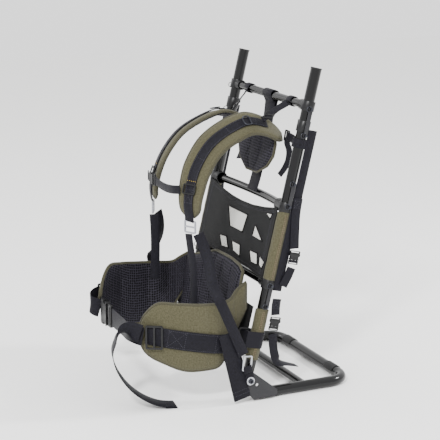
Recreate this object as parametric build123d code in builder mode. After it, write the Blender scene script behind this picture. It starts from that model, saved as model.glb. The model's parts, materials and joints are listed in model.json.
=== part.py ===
from build123d import *

import os
from math import cos, radians, sin

# External-frame hunting pack: tube frame, folding freight shelf, padded harness and hip belt.
os.makedirs("parts", exist_ok=True)

# ---- driving dimensions, mm and degrees. X is the width (+X is the wearer's left),
# ---- -Y is the wearer's side, +Y is the load's side, Z is up from the floor.
rail_spacing = 378.0          # centre to centre
rail_length = 736.0           # pivot bolt to the top of the end cap
rail_lean = 13.4              # the rails lean back over the shelf
tube_d = 25.4
tube_wall = 1.5
crossbar_d = 19.0
shelf_depth = 255.0           # front of the shelf to the back tube's centre line
shelf_front = 13.6            # shelf tube's start, behind the pivot
shelf_corner = 46.0
pivot_height = 53.7
pivot_back = 14.9             # pivot axis behind the origin
crossbar_heights = (229.0, 412.0, 648.0)
crossbar_bow = 20.0           # the middle bar bows back
pin_pairs = ((178.0, 228.0), (415.0, 468.0), (581.0, 642.0))
sleeve_d = 31.4
webbing_t = 1.6
belt_webbing_w = 45.0
strap_foam_t = 15.0
wing_foam_t = 14.0

half = rail_spacing / 2
tube_r = tube_d / 2
sides = {"left": 1, "right": -1}
frame_plane = Plane(
    origin=(0, pivot_back, pivot_height),
    x_dir=(1, 0, 0),
    z_dir=(0, sin(radians(rail_lean)), cos(radians(rail_lean))),
)


def place(x, y, z):
    """A point given from the pivot axis, in the part's frame."""
    return Vector(x, y + pivot_back, z)


def on_frame(x, n, s):
    """A point in the rails' plane: x across, n behind the rails' axes, s up along them."""
    return frame_plane.from_local_coords(Vector(x, n, s))


def frame_level(x, n, s):
    """A plane square to the rails at that point; its y runs to the back."""
    return Plane(origin=on_frame(x, n, s), x_dir=(1, 0, 0), z_dir=frame_plane.z_dir)


def frame_side(x, n, s, facing=1):
    """A plane whose normal is +X or -X; its x runs to the back, in line with n."""
    return Plane(origin=on_frame(x, n, s), x_dir=frame_plane.y_dir, z_dir=(facing, 0, 0))


def save(piece, label):
    piece.part.label = label
    export_step(piece.part, f"parts/{label}.step")


def tangents(points):
    """Direction of travel at each point of a route."""
    out = []
    for i in range(len(points)):
        before = points[max(i - 1, 0)]
        after = points[min(i + 1, len(points) - 1)]
        out.append((after - before).normalized())
    return out


def band(points, acrosses, widths, thick):
    """Adds a flat strap or pad: rectangles square to the route, joined by straight walls."""
    sections = []
    for point, way, across, width in zip(points, tangents(points), acrosses, widths):
        across = Vector(*across)
        across = (across - way * across.dot(way)).normalized()
        with BuildSketch(Plane(origin=point, x_dir=across, z_dir=way)) as section:
            Rectangle(width, thick)
        sections.append(section.sketch)
    loft(sections, ruled=True)


def ribbon(label, points, acrosses, widths, thick):
    with BuildPart() as piece:
        band(points, acrosses, widths, thick)
    save(piece, label)


def webbing(points, across, width, thick=webbing_t):
    """Adds one length of webbing to the open part; across is one direction or one for each point."""
    across = across if isinstance(across, list) else [across] * len(points)
    band(points, across, [width] * len(points), thick)


def strap(label, points, across, width, thick=webbing_t):
    with BuildPart() as piece:
        webbing(points, across, width, thick)
    save(piece, label)


def strap_pair(label, points, across, width, thick=webbing_t):
    """The same strap on both sides: routes are given for the left one, from the pivot axis."""
    with BuildPart() as pair:
        for sign in sides.values():
            ways = across if isinstance(across, list) else [across] * len(points)
            webbing([place(sign * x, y, z) for x, y, z in points],
                    [(sign * x, y, z) for x, y, z in ways], width, thick)
    save(pair, label)


def ring_plate(label, planes, width, height, thick, rim, bars=()):
    """Flat rectangular loops, ladder-locks and tri-glides: a plate with slots between its bars."""
    edges = [-height / 2 + rim / 2, *bars, height / 2 - rim / 2]
    with BuildPart() as piece:
        for plane in planes:
            with BuildSketch(plane.offset(-thick / 2)):
                RectangleRounded(width, height, min(4.0, height / 4))
                for low, high in zip(edges, edges[1:]):
                    with Locations((0, (low + high) / 2)):
                        Rectangle(width - 2 * rim, high - low - rim, mode=Mode.SUBTRACT)
            extrude(amount=thick)
    save(piece, label)


# ---- rails, crossbars and their sockets ---------------------------------------------------
rail_end = 15.0
cap_lip = 3.0
pin_r = 3.0
bolt_r = 4.0
for side, sign in sides.items():
    with BuildPart() as rail:
        with BuildSketch(frame_level(sign * half, 0, -rail_end)):
            Circle(tube_r)
            Circle(tube_r - tube_wall, mode=Mode.SUBTRACT)
        extrude(amount=rail_length + rail_end - cap_lip)
        with BuildSketch(frame_side(sign * half - 20, 0, 0)):
            Circle(bolt_r + 0.05)
        extrude(amount=40, mode=Mode.SUBTRACT)
        with BuildSketch(frame_side(sign * half, 0, 0)):
            with Locations(*[(0, s) for pair in pin_pairs for s in pair]):
                Circle(pin_r + 0.05)
        extrude(amount=sign * 20, mode=Mode.SUBTRACT)
    save(rail, f"rail_{side}")

with BuildPart() as rail_end_caps:
    for sign in sides.values():
        with BuildSketch(frame_level(sign * half, 0, rail_length - cap_lip)):
            Circle(tube_r + 0.6)
        extrude(amount=cap_lip)
        with BuildSketch(frame_level(sign * half, 0, rail_length - cap_lip)):
            Circle(tube_r - tube_wall - 0.1)
        extrude(amount=-16)
    fillet(rail_end_caps.edges().filter_by(GeomType.CIRCLE).group_by(Axis.Z)[-1], 0.8)
save(rail_end_caps, "rail_end_caps")

socket_reach = 30.0
socket_h = 22.0
bar_end = half - tube_r - 2.5
for name, s, bow in zip(("lower", "middle", "top"), crossbar_heights, (0, crossbar_bow, 0)):
    with BuildPart() as crossbar:
        with BuildLine() as run:
            if bow:
                ThreePointArc(on_frame(-bar_end, 0, s), on_frame(0, bow, s), on_frame(bar_end, 0, s))
            else:
                Line(on_frame(-bar_end, 0, s), on_frame(bar_end, 0, s))
        with BuildSketch(Plane(origin=run.line @ 0, z_dir=run.line % 0)):
            Circle(crossbar_d / 2)
            Circle(crossbar_d / 2 - tube_wall, mode=Mode.SUBTRACT)
        sweep()
    save(crossbar, f"{name}_crossbar")

socket_bores = (0.5, 3.6, 0.5)     # the bowed bar enters its sockets at an angle
with BuildPart() as crossbar_sockets:
    for s, bore in zip(crossbar_heights, socket_bores):
        for sign in sides.values():
            with BuildSketch(frame_level(sign * half, 0, s - socket_h / 2)):
                Circle(tube_r + 3.0)
            extrude(amount=socket_h)
            with BuildSketch(frame_side(sign * half, 0, s, -sign)):
                Circle(crossbar_d / 2 + bore + 1.9)
            extrude(amount=socket_reach)
            with BuildSketch(frame_level(sign * half, 0, s - socket_h)):
                Circle(tube_r + 0.02)
            extrude(amount=2 * socket_h, mode=Mode.SUBTRACT)
            with BuildSketch(frame_side(sign * half, 0, s, -sign)):
                Circle(crossbar_d / 2 + bore)
            extrude(amount=socket_reach + 1, mode=Mode.SUBTRACT)
            with BuildSketch(frame_side(sign * half, 0, 0)):
                with Locations(*[(0, pin_s) for pair in pin_pairs for pin_s in pair]):
                    Circle(pin_r + 0.05)
            extrude(amount=sign * 20, mode=Mode.SUBTRACT)
save(crossbar_sockets, "crossbar_sockets")

collar_s = 593.0
with BuildPart() as rail_collars:
    for sign in sides.values():
        with BuildSketch(frame_level(sign * half, 0, collar_s - 5)):
            Circle(tube_r + 2.6)
            Circle(tube_r + 0.02, mode=Mode.SUBTRACT)
        extrude(amount=26)
save(rail_collars, "rail_collars")

# ---- clevis pins, split rings and lash loops ------------------------------------------------
pin_flange_x = half + tube_r + 3.2
pin_out = 8.0                 # how far a pin stands out of its flange
ring_x = pin_flange_x + 5.0
ring_wire_r = 0.8
ring_r = 6.0
pin_places = [s for pair in pin_pairs for s in pair]
with BuildPart() as clevis_pins:
    for sign in sides.values():
        for s in pin_places:
            with BuildSketch(frame_side(sign * (half - tube_r + tube_wall + 1), 0, s, sign)):
                Circle(pin_r)
            extrude(amount=pin_flange_x + pin_out - half + tube_r - tube_wall - 1)
            with BuildSketch(frame_side(sign * pin_flange_x, 0, s, sign)):
                Circle(pin_r + 1.8)
            extrude(amount=1.4)
            with BuildSketch(frame_level(sign * ring_x, -0.3, s - 5)):
                Circle(ring_wire_r + 0.7)
            extrude(amount=10, mode=Mode.SUBTRACT)
save(clevis_pins, "clevis_pins")

with BuildPart() as split_rings:
    for sign in sides.values():
        for s in pin_places:
            with BuildSketch(frame_level(sign * ring_x, 0, s)):
                Circle(ring_wire_r)
            revolve(axis=Axis(on_frame(sign * ring_x, -ring_r, s), (1, 0, 0)))
save(split_rings, "split_rings")

# ---- folding shelf ---------------------------------------------------------------------------
tube_level = tube_r
with BuildPart() as shelf_tube:
    with BuildLine() as run:
        FilletPolyline(
            place(half, shelf_front + 3, tube_level),
            place(half, shelf_front + shelf_depth, tube_level),
            place(-half, shelf_front + shelf_depth, tube_level),
            place(-half, shelf_front + 3, tube_level),
            radius=shelf_corner,
        )
    with BuildSketch(Plane(origin=run.line @ 0, z_dir=run.line % 0)):
        Circle(tube_r)
        Circle(tube_r - tube_wall, mode=Mode.SUBTRACT)
    sweep()
save(shelf_tube, "shelf_tube")

midbar_back = shelf_front + 139.5
with BuildPart() as shelf_midbar:
    with BuildSketch(Plane(origin=place(-half, midbar_back, tube_level), z_dir=(1, 0, 0))):
        Circle(crossbar_d / 2)
        Circle(crossbar_d / 2 - tube_wall, mode=Mode.SUBTRACT)
    extrude(amount=rail_spacing)
    for sign in sides.values():
        with BuildSketch(Plane(origin=place(sign * half, midbar_back - 30, tube_level), z_dir=(0, 1, 0))):
            Circle(tube_r)
        extrude(amount=60, mode=Mode.SUBTRACT)
save(shelf_midbar, "shelf_midbar")

plate_t = 3.0
plate_gap = 0.3
plate_x = half + tube_r
gusset_outline = ((-18, 61), (-9, 72), (3, 75), (14, 68), (72, 21), (71, 5), (10, 5), (-10, 30))
with BuildPart() as gusset_plates:
    for sign in sides.values():
        with BuildSketch(Plane(origin=place(sign * (plate_x + plate_gap), 0, 0), x_dir=(0, 1, 0),
                               z_dir=(1, 0, 0))) as outline:
            with BuildLine():
                Polyline(*gusset_outline, close=True)
            make_face()
            fillet(outline.vertices(), 3)
            with Locations((0, pivot_height)):
                Circle(bolt_r + 0.08, mode=Mode.SUBTRACT)
            with Locations((19, 40)):
                Circle(3.6, mode=Mode.SUBTRACT)
        extrude(amount=sign * plate_t)
        with BuildSketch(Plane(origin=place(sign * (plate_x - 6), 44, tube_level), x_dir=(0, 1, 0),
                               z_dir=(sign, 0, 0))):
            Rectangle(44, 10)
        extrude(amount=6 + plate_gap)
        with BuildSketch(Plane(origin=place(sign * half, 0, tube_level), z_dir=(0, 1, 0))):
            Circle(tube_r)
        extrude(amount=90, mode=Mode.SUBTRACT)
save(gusset_plates, "gusset_plates")

with BuildPart() as shelf_pads:
    for x in (-112, 112):
        with BuildSketch(Plane(origin=place(x - 21, shelf_front + shelf_depth, tube_level), x_dir=(0, 1, 0),
                               z_dir=(1, 0, 0))):
            Circle(tube_r + 1.8)
            Circle(tube_r + 0.02, mode=Mode.SUBTRACT)
            with Locations((0, -tube_r)):
                Rectangle(3 * tube_r, 2 * tube_r + 2, mode=Mode.SUBTRACT)
        extrude(amount=42)
save(shelf_pads, "shelf_pads")

# ---- pivot bolts: head, washer, webbing tab, foot strap, gusset, rail, nut ------------------------
foot_strap_t = 2.0
foot_strap_x = plate_x + plate_gap + plate_t + 0.4 + foot_strap_t / 2
tab_x = foot_strap_x + foot_strap_t / 2 + 0.3
washer_x = tab_x + webbing_t + 0.1
washer_t = 1.2
head_x = washer_x + washer_t
head_t = 4.0
nut_x = half - tube_r - 5.5
with BuildPart() as pivot_bolts:
    for sign in sides.values():
        with BuildSketch(Plane(origin=place(sign * (half - tube_r - 6.5), 0, pivot_height), z_dir=(sign, 0, 0))):
            Circle(bolt_r)
        extrude(amount=head_x - half + tube_r + 6.5)
        with BuildSketch(Plane(origin=place(sign * head_x, 0, pivot_height), z_dir=(sign, 0, 0))):
            RegularPolygon(6.9, 6)
            Circle(2.6, mode=Mode.SUBTRACT)
        extrude(amount=head_t)
save(pivot_bolts, "pivot_bolts")

with BuildPart() as pivot_nuts:
    for sign in sides.values():
        with BuildSketch(Plane(origin=place(sign * nut_x, 0, pivot_height), z_dir=(sign, 0, 0))):
            RegularPolygon(7.2, 6)
            Circle(bolt_r + 0.03, mode=Mode.SUBTRACT)
        extrude(amount=5.3)
save(pivot_nuts, "pivot_nuts")

with BuildPart() as pivot_washers:
    for sign in sides.values():
        with BuildSketch(Plane(origin=place(sign * washer_x, 0, pivot_height), z_dir=(sign, 0, 0))):
            Circle(10.0)
            Circle(bolt_r + 0.2, mode=Mode.SUBTRACT)
        extrude(amount=washer_t)
save(pivot_washers, "pivot_washers")

# ---- back panel with its sleeves, and the lumbar band ------------------------------------------
sleeve_bore = 0.05
with BuildPart() as rail_sleeves:
    for low, high in ((241.0, 396.0), (52.0, 168.0)):
        for sign in sides.values():
            with BuildSketch(frame_level(sign * half, 0, low)):
                Circle(sleeve_d / 2)
                Circle(tube_r + sleeve_bore, mode=Mode.SUBTRACT)
            extrude(amount=high - low)
save(rail_sleeves, "rail_sleeves")

panel_reach = half - 14.6
with BuildPart() as mesh_panel:
    with BuildSketch(frame_level(0, -13.6, 250.0)):
        Rectangle(2 * panel_reach, 2.4)
    extrude(amount=146)
    with BuildSketch(frame_side(-half, -13.6, 0)):
        with Locations((12.5, 412)):
            Circle(32)
    extrude(amount=rail_spacing, mode=Mode.SUBTRACT)
save(mesh_panel, "mesh_panel")

with BuildPart() as lumbar_band:
    with BuildSketch(frame_level(0, -13.6, 118.5)):
        Rectangle(2 * panel_reach, 2.4)
    extrude(amount=49.5)
    with BuildSketch(frame_level(0, -13.6, 84.0)):
        Rectangle(2 * panel_reach - 9, 2.4)
    extrude(amount=34.5)
save(lumbar_band, "lumbar_band")

# ---- hip belt: back pad, two wings, their webbing and hardware -----------------------------------
pad_levels = ((98, -20, 262, 0), (130, -20, 296, 0), (272, 4, 298, 0), (312, 14, 200, 45))
with BuildPart() as hip_back_pad:
    for z, y, width, shift in pad_levels:
        with BuildSketch(Plane(origin=place(shift, y, z), x_dir=(1, 0, 0), z_dir=(0, 0, 1))):
            RectangleRounded(width, 22, 9)
    loft(ruled=True)
save(hip_back_pad, "hip_back_pad")

# x, y, lowest and highest z of a wing, from the back pad round to the front
wing_stations = (
    (157, 11, 214, 276),
    (167, -26, 122, 260),
    (182, -46, 94, 246),
    (189, -85, 90, 242),
    (184, -138, 93, 245),
    (170, -186, 112, 250),
    (150, -222, 130, 250),
    (130, -246, 152, 205),
)
for side, sign in sides.items():
    lift = 0 if sign > 0 else 14
    route, widths = [], []
    for i, (x, y, low, high) in enumerate(wing_stations):
        rise = lift * i / (len(wing_stations) - 1)
        route.append(place(sign * x, y, (low + high) / 2 + rise))
        widths.append(high - low)
    level = [Vector(p.X, p.Y, 0) for p in route]
    with BuildPart() as wing:
        for point, way, width in zip(route, tangents(level), widths):
            with BuildSketch(Plane(origin=point, x_dir=(0, 0, 1), z_dir=way)):
                Rectangle(width, wing_foam_t)
        loft(ruled=True)
    save(wing, f"hip_wing_{side}")

def beside(points, gap):
    """The same route in plan, moved sideways by gap to its right."""
    level = [Vector(p.X, p.Y, 0) for p in points]
    return [p + Vector(way.Y, -way.X, 0) * gap for p, way in zip(points, tangents(level))]


wing_skin = wing_foam_t / 2 + 2.2
webbing_mids = (140, 143, 146, 152, 163, 173, 180)
right_lift = 10.0
with BuildPart() as wing_webbing:
    for sign in sides.values():
        lift = 0 if sign > 0 else right_lift
        middle = [place(sign * x, y, z - lift * y / 200) for (x, y, *_), z in zip(wing_stations, webbing_mids)]
        outer = beside(middle, -sign * wing_skin)
        webbing([*outer[2:-1], outer[-2] * 0.35 + outer[-1] * 0.65], (0, 0, 1), belt_webbing_w)
save(wing_webbing, "wing_webbing")

buckle_y = -246.0
buckle_z = 168.0
strap("waist_webbing_left", [place(x, y, z) for x, y, z in (
    (156, -245, 179), (144, -257, 182), (126, -264, 183), (102, -264, 181), (60, -257, 176), (4, -250, 171),
    (-41, buckle_y, buckle_z))], (0, 0, 1), belt_webbing_w)
strap("waist_webbing_right", [place(x, y, z) for x, y, z in (
    (-164, -234, 190), (-154, -251, 188), (-143, -263, 184), (-131, -267, 179), (-121, -260, 174),
    (-115, -249, 170))], (0, 0, 1), belt_webbing_w)

triglide_planes = [Plane(origin=place(sign * 167, -222, z), x_dir=(0, 0, 1), z_dir=(sign * 0.86, -0.5, 0))
                   for sign, z in ((1, 177), (-1, 191))]
ring_plate("triglides", triglide_planes, 56, 40, 3.4, 4.2, bars=(0,))


# ---- side-release buckles ------------------------------------------------------------------------
def buckle_face(origin, along, across):
    """Plane of a buckle that opens towards its local y, with the webbing's width along x."""
    return Plane(origin=origin, x_dir=across, z_dir=Vector(*across).cross(Vector(*along)))


def buckle_housing(face, webbing_w):
    k = webbing_w / 50
    with BuildSketch(face) as shell:
        with Locations((0, 18 * k)):
            RectangleRounded(60 * k, 36 * k, 5 * k)
        with Locations((-32 * k, 24 * k), (32 * k, 24 * k)):
            RectangleRounded(16 * k, 16 * k, 4 * k, mode=Mode.SUBTRACT)
    extrude(shell.sketch, amount=6.5 * k, both=True)
    with BuildSketch(face) as cavity:
        with Locations((0, 25 * k)):
            Rectangle(50 * k, 30 * k)
    extrude(cavity.sketch, amount=3.7 * k, both=True, mode=Mode.SUBTRACT)
    with BuildSketch(face) as strap_bar:
        with Locations((0, -5.5 * k)):
            RectangleRounded(60 * k, 13 * k, 3 * k)
            Rectangle(48 * k, 5 * k, mode=Mode.SUBTRACT)
    extrude(strap_bar.sketch, amount=2.5 * k, both=True)


def buckle_prongs(face, webbing_w):
    k = webbing_w / 50
    with BuildSketch(face) as prongs:
        with Locations((0, 49.5 * k)):
            RectangleRounded(56 * k, 22 * k, 4 * k)
        with Locations((0, 54.5 * k)):
            Rectangle(46 * k, 5 * k, mode=Mode.SUBTRACT)
        with Locations((-20.6 * k, 27 * k), (20.6 * k, 27 * k)):
            RectangleRounded(7.4 * k, 28 * k, 2 * k)
        with Locations((0, 28 * k)):
            Rectangle(12 * k, 24 * k)
    extrude(prongs.sketch, amount=3.0 * k, both=True)


def side_release(label, origin, along, across, webbing_w):
    """Both halves of a closed buckle; its housing starts at origin."""
    face = buckle_face(origin, along, across)
    with BuildPart() as housing:
        buckle_housing(face, webbing_w)
    save(housing, f"{label}_female")
    with BuildPart() as prongs:
        buckle_prongs(face, webbing_w)
    save(prongs, f"{label}_male")


side_release("waist_buckle", place(-104, buckle_y, buckle_z), (1, 0, 0), (0, 0, 1), 50)

# ---- square belt rings, the webbing round the rails, and the free belt end ------------------------
belt_loop_s = (78.0, 116.0)
ring_n = -33.0
loop_w = sleeve_d + 4.0
with BuildPart() as rail_loops:
    for sign in sides.values():
        with BuildSketch(frame_level(sign * half, 0, belt_loop_s[0])):
            Circle(loop_w / 2)
            with Locations((0, ring_n / 2)):
                Rectangle(loop_w, -ring_n)
            Circle(loop_w / 2 - 1.8, mode=Mode.SUBTRACT)
            with Locations((0, ring_n / 2 + 1)):
                Rectangle(loop_w - 3.6, -ring_n - 2, mode=Mode.SUBTRACT)
        extrude(amount=belt_loop_s[1] - belt_loop_s[0])
save(rail_loops, "rail_loops")

with BuildPart() as belt_rings:
    for sign in sides.values():
        with BuildSketch(frame_side(sign * half - 2.0, 0, 0)):
            with Locations((ring_n - 3.5, 97)):
                Rectangle(24, 46)
                Rectangle(17, 39, mode=Mode.SUBTRACT)
        extrude(amount=4)
save(belt_rings, "belt_rings")

# belt end: from the tri-glide forward, down to the floor and back, turning flat on the way
tail_flat = (1, -0.28, 0)
tail_turn = [(0, 0, 1), (0.1, 0, 1), (0.3, 0, 1), (0.6, 0, 1), (1, 0, 0.8), (1, -0.2, 0.3)]
strap("belt_tail", [place(x, y, z) for x, y, z in (
    (161, -253, 188), (154, -262, 192), (147, -270, 195), (140, -279, 194), (134, -287, 189), (128, -295, 180),
    (124, -300, 166), (120, -306, 140), (119, -300, 108), (122, -285, 76), (128, -262, 46), (136, -233, 23),
    (144, -200, 8), (149, -164, 1.6))], tail_turn + [tail_flat] * 8, belt_webbing_w)

# ---- shoulder straps: foam, overlay webbing, hardware ---------------------------------------------
# x, y, z of the middle of the left strap, its width, and how far its face turns outward in degrees
strap_stations = (
    (92, 132, 598, 62, 30),
    (88, 92, 624, 68, 34),
    (85, 52, 634, 72, 38),
    (86, 8, 622, 74, 40),
    (91, -46, 591, 74, 40),
    (98, -84, 541, 72, 38),
    (105, -101, 495, 68, 34),
    (110, -107, 462, 62, 30),
    (112, -105, 434, 52, 28),
)


far_strap_turn = 0.35         # the right strap lies flatter


def strap_frames(sign, raise_by=0.0):
    """Points along a shoulder strap, its width directions and the normals of its outer face."""
    points = [place(sign * x, y, z) for x, y, z, _, _ in strap_stations]
    frames = []
    for point, way, (*_, turn) in zip(points, tangents(points), strap_stations):
        turn *= 1.0 if sign > 0 else far_strap_turn
        flat = Vector(0, way.Z, -way.Y).normalized()
        face = flat * cos(radians(turn)) + Vector(sign, 0, 0) * sin(radians(turn))
        face = (face - way * face.dot(way)).normalized()
        frames.append((point + face * raise_by, way.cross(face), face))
    return frames


for side, sign in sides.items():
    frames = strap_frames(sign)
    ribbon(f"shoulder_strap_{side}", [p for p, _, _ in frames], [a for _, a, _ in frames],
           [station[3] for station in strap_stations], strap_foam_t)
    frames = strap_frames(sign, strap_foam_t / 2 + 1.8)[1:]
    strap_ribbon = [p for p, _, _ in frames]
    ribbon(f"strap_webbing_{side}", strap_ribbon, [a for _, a, _ in frames], [25] * len(frames), webbing_t)

with BuildPart() as yoke_pad:
    for s, width in ((462, 60), (485, 150), (512, 188), (540, 186), (556, 160)):
        with BuildSketch(frame_level(0, -4, s)):
            RectangleRounded(width, 14, 6)
    loft(ruled=True)
save(yoke_pad, "yoke_pad")

strap("harness_hanger", [on_frame(0, n, s) for n, s in ((6, 414), (9, 455), (8, 520), (8, 580), (2, 634))],
      (1, 0, 0), 50)
with BuildPart() as upper_webbing:
    for sign in sides.values():
        webbing([place(sign * x, y, z) for x, y, z in ((95, 117, 664), (102, 129, 673), (110, 139.5, 681.5))],
                (1, sign * 0.5, 0), 20)
        webbing([place(sign * x, y, z) for x, y, z in (
            (118, 134, 604), (134, 135, 603), (150, 134, 602), (166, 131, 601))], (0, 0.2, 1), 20)
        webbing([place(sign * x, y, z) for x, y, z in (
            (121, 133, 588), (124, 137, 571), (122, 136, 547), (116, 129, 527), (111, 119, 511))], (1, 0.3, 0.2), 20)
save(upper_webbing, "upper_webbing")

# ladder-locks: at the load lifters, at the stabilisers, and at the straps' lower ends
lifter_planes = [Plane(origin=place(sign * 89, 103, 651), x_dir=(1, sign * 0.5, 0),
                       z_dir=(sign * 0.3, -0.6, 0.72)) for sign in sides.values()]
stabiliser_planes = [Plane(origin=place(sign * 108, 139, 603), x_dir=(0, 0.2, 1), z_dir=(0, -1, 0.2))
                     for sign in sides.values()]
ring_plate("harness_buckles", lifter_planes + stabiliser_planes, 26, 22, 3.0, 3.0, bars=(0,))
adjuster_planes = [Plane(origin=place(sign * 113, -109, 411), x_dir=(sign * 0.88, 0.47, 0),
                         z_dir=(sign * 0.47, -0.88, 0)) for sign in sides.values()]
ring_plate("adjuster_buckles", adjuster_planes, 33, 30, 3.4, 3.4, bars=(0,))

# sternum strap on its two sliders, buckle towards the wearer's right
slider_w = 33.0
slider_planes = []
for sign in sides.values():
    point, across, face = strap_frames(sign, strap_foam_t / 2 + 5.2)[6]
    slider_planes.append(Plane(origin=point, x_dir=across, z_dir=face))
ring_plate("sternum_sliders", slider_planes, slider_w, 24, 3.0, 3.0)
side_release("sternum_buckle", place(-64, -134, 493), (1, 0, 0), (0, 0, 1), 25)
strap("sternum_webbing_right", [place(-96, -127, 496), place(-84, -133, 495), place(-72, -134, 493)], (0, 0, 1), 20)
strap("sternum_webbing_left", [place(x, y, z) for x, y, z in (
    (-32, -134, 493), (0, -136, 490), (40, -137, 490), (74, -135, 493), (96, -127, 496))], (0, 0, 1), 20)

# D-rings lying on the shoulder straps
dring_w, dring_h, dring_wire = 26.0, 17.0, 1.5
dring_lift = strap_foam_t / 2 + 4.8
for side, sign in sides.items():
    point, across, face = strap_frames(sign, dring_lift)[2]
    flat = Plane(origin=point, x_dir=across, z_dir=face)
    with BuildPart() as d_ring:
        with BuildLine(flat) as run:
            FilletPolyline((0, 0), (-dring_w / 2, 0), (-dring_w / 2, dring_h), (dring_w / 2, dring_h),
                           (dring_w / 2, 0), (0.01, 0), radius=(4, 8, 8, 4))
        with BuildSketch(Plane(origin=run.line @ 0, z_dir=run.line % 0)):
            Circle(dring_wire)
        sweep()
    save(d_ring, f"d_ring_{side}")

# ---- webbing between the straps' lower ends and the frame's foot ------------------------------------
strap_pair("adjuster_tails", ((106, -110, 393), (109, -107, 362), (114, -104, 326), (118, -103, 280), (121, -104, 226)),
           (0.9, 0.4, 0), 22)
over_belt = (0.35, 1, 0.4)
flat_down = (0, 1, 0.4)
strap_pair("lower_webbing", (
    (122, -93, 395), (132, -83, 364), (147, -78, 330), (170, -81, 294), (199, -83, 272), (211, -74, 246),
    (212.5, -52, 196), (212.5, -31, 148), (211.8, -19, 121)), [over_belt] * 5 + [flat_down] * 4, 25)
steel_planes = [Plane(origin=place(sign * 211.5, -10, 99), x_dir=(0, 1, -0.1), z_dir=(1, 0, 0))
                for sign in sides.values()]
ring_plate("steel_rings", steel_planes, 24, 37, 3.0, 3.2)
foot_route = ((-58, 176), (-45, 120), (-32, 66), (-19, 12))
with BuildPart() as foot_webbing:
    for sign in sides.values():
        with BuildSketch(Plane(origin=place(sign * tab_x, 0, 0), x_dir=(0, 1, 0), z_dir=(1, 0, 0))):
            with Locations((0, pivot_height)):
                Circle(13)
            with Locations(Location((-6, 69, 0), 20)):
                Rectangle(22, 18)
            with Locations((0, pivot_height)):
                Circle(bolt_r + 0.2, mode=Mode.SUBTRACT)
        extrude(amount=sign * webbing_t)
        webbing([place(sign * foot_strap_x, y, z) for y, z in foot_route], (0, 1, 0.25), 44, foot_strap_t)
save(foot_webbing, "foot_webbing")

# ---- lash straps on the load side: one plain, one at mid height and one low with buckles -------------
lash_w = 22.0
bar_x = pin_flange_x + 1.6
with BuildPart() as lash_bars:
    for sign in sides.values():
        for low, high in pin_pairs:
            with BuildSketch(frame_side(sign * bar_x, 0, (low + high) / 2)):
                SlotCenterToCenter(high - low, 10, rotation=90)
                with Locations((0, (low - high) / 2), (0, (high - low) / 2)):
                    Circle(pin_r + 0.08, mode=Mode.SUBTRACT)
            extrude(amount=sign * 1.5)
save(lash_bars, "lash_bars")

lash_in, lash_out = half + 15.6, half + 19.4
lash_ring_s = {"middle": 312.0, "lower": 152.0}
with BuildPart() as lash_webbing:
    for sign in sides.values():
        for x, points in (
            (lash_in, ((18, 596), (18, 420), (18, 218))),
            (lash_out, ((18, 438), (21, 400), (31, 348), (37, 322))),
            (lash_out, ((21, 200), (22, 184), (26, 162))),
        ):
            webbing([on_frame(sign * x, n, s) for n, s in points], tuple(frame_plane.y_dir), lash_w)
save(lash_webbing, "lash_webbing")

lash_buckle_n = {"middle": 40.0, "lower": 28.0}
lash_tails = {
    "middle": ((0.4, 40, 277), (0, 36, 256), (-1, 29, 231)),
    "lower": ((0.4, 30, 116), (-2, 38, 92), (-6, 52, 64), (-14, 68, 49), (-22, 95, 44), (-27, 126, 41)),
}


def lash_face(which, sign):
    spot = on_frame(sign * (lash_out + 1.0), lash_buckle_n[which], lash_ring_s[which])
    return buckle_face(spot, tuple(-frame_plane.z_dir), tuple(frame_plane.y_dir * sign))


with BuildPart() as lash_housings:
    for sign in sides.values():
        for which in lash_tails:
            buckle_housing(lash_face(which, sign), lash_w)
save(lash_housings, "lash_housings")


def lash_tail(which, sign):
    """Adds the free webbing below a lash buckle; the low one turns to lie over the shelf tube."""
    ways = [tuple(frame_plane.y_dir)] * 3
    if which == "lower":
        ways += [(-sign * 0.5, 0.85, 0), (-sign * 0.9, 0.4, 0), (-sign, 0, 0)]
    webbing([on_frame(sign * (lash_out + x), n, s) for x, n, s in lash_tails[which]], ways, lash_w - 1)


for which in lash_tails:
    for side, sign in sides.items():
        with BuildPart() as lash_end:
            buckle_prongs(lash_face(which, sign), lash_w)
            if which == "middle":
                lash_tail(which, sign)
        save(lash_end, f"lash_end_{which}_{side}")

with BuildPart() as lash_tails_lower:
    for sign in sides.values():
        lash_tail("lower", sign)
save(lash_tails_lower, "lash_tails_lower")
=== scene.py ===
import json
import math

import bmesh
import bpy
import numpy as np
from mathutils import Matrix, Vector


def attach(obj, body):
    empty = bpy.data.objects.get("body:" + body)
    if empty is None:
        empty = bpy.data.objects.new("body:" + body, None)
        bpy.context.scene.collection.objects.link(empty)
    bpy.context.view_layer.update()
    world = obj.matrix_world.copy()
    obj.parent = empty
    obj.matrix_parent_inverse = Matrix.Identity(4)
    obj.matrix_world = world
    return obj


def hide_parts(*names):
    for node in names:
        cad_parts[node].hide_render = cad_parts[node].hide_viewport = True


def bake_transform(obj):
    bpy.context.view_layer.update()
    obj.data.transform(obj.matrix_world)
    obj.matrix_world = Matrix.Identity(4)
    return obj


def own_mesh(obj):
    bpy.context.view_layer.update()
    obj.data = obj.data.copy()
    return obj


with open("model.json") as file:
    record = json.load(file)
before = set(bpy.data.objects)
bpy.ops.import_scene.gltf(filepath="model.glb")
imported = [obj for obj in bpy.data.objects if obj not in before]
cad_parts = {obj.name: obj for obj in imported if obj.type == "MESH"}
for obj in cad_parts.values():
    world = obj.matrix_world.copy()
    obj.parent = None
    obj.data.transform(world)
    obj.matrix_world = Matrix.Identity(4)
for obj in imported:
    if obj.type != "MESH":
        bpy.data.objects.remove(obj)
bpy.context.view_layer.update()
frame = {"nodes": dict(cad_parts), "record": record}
print("frame loaded")

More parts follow.
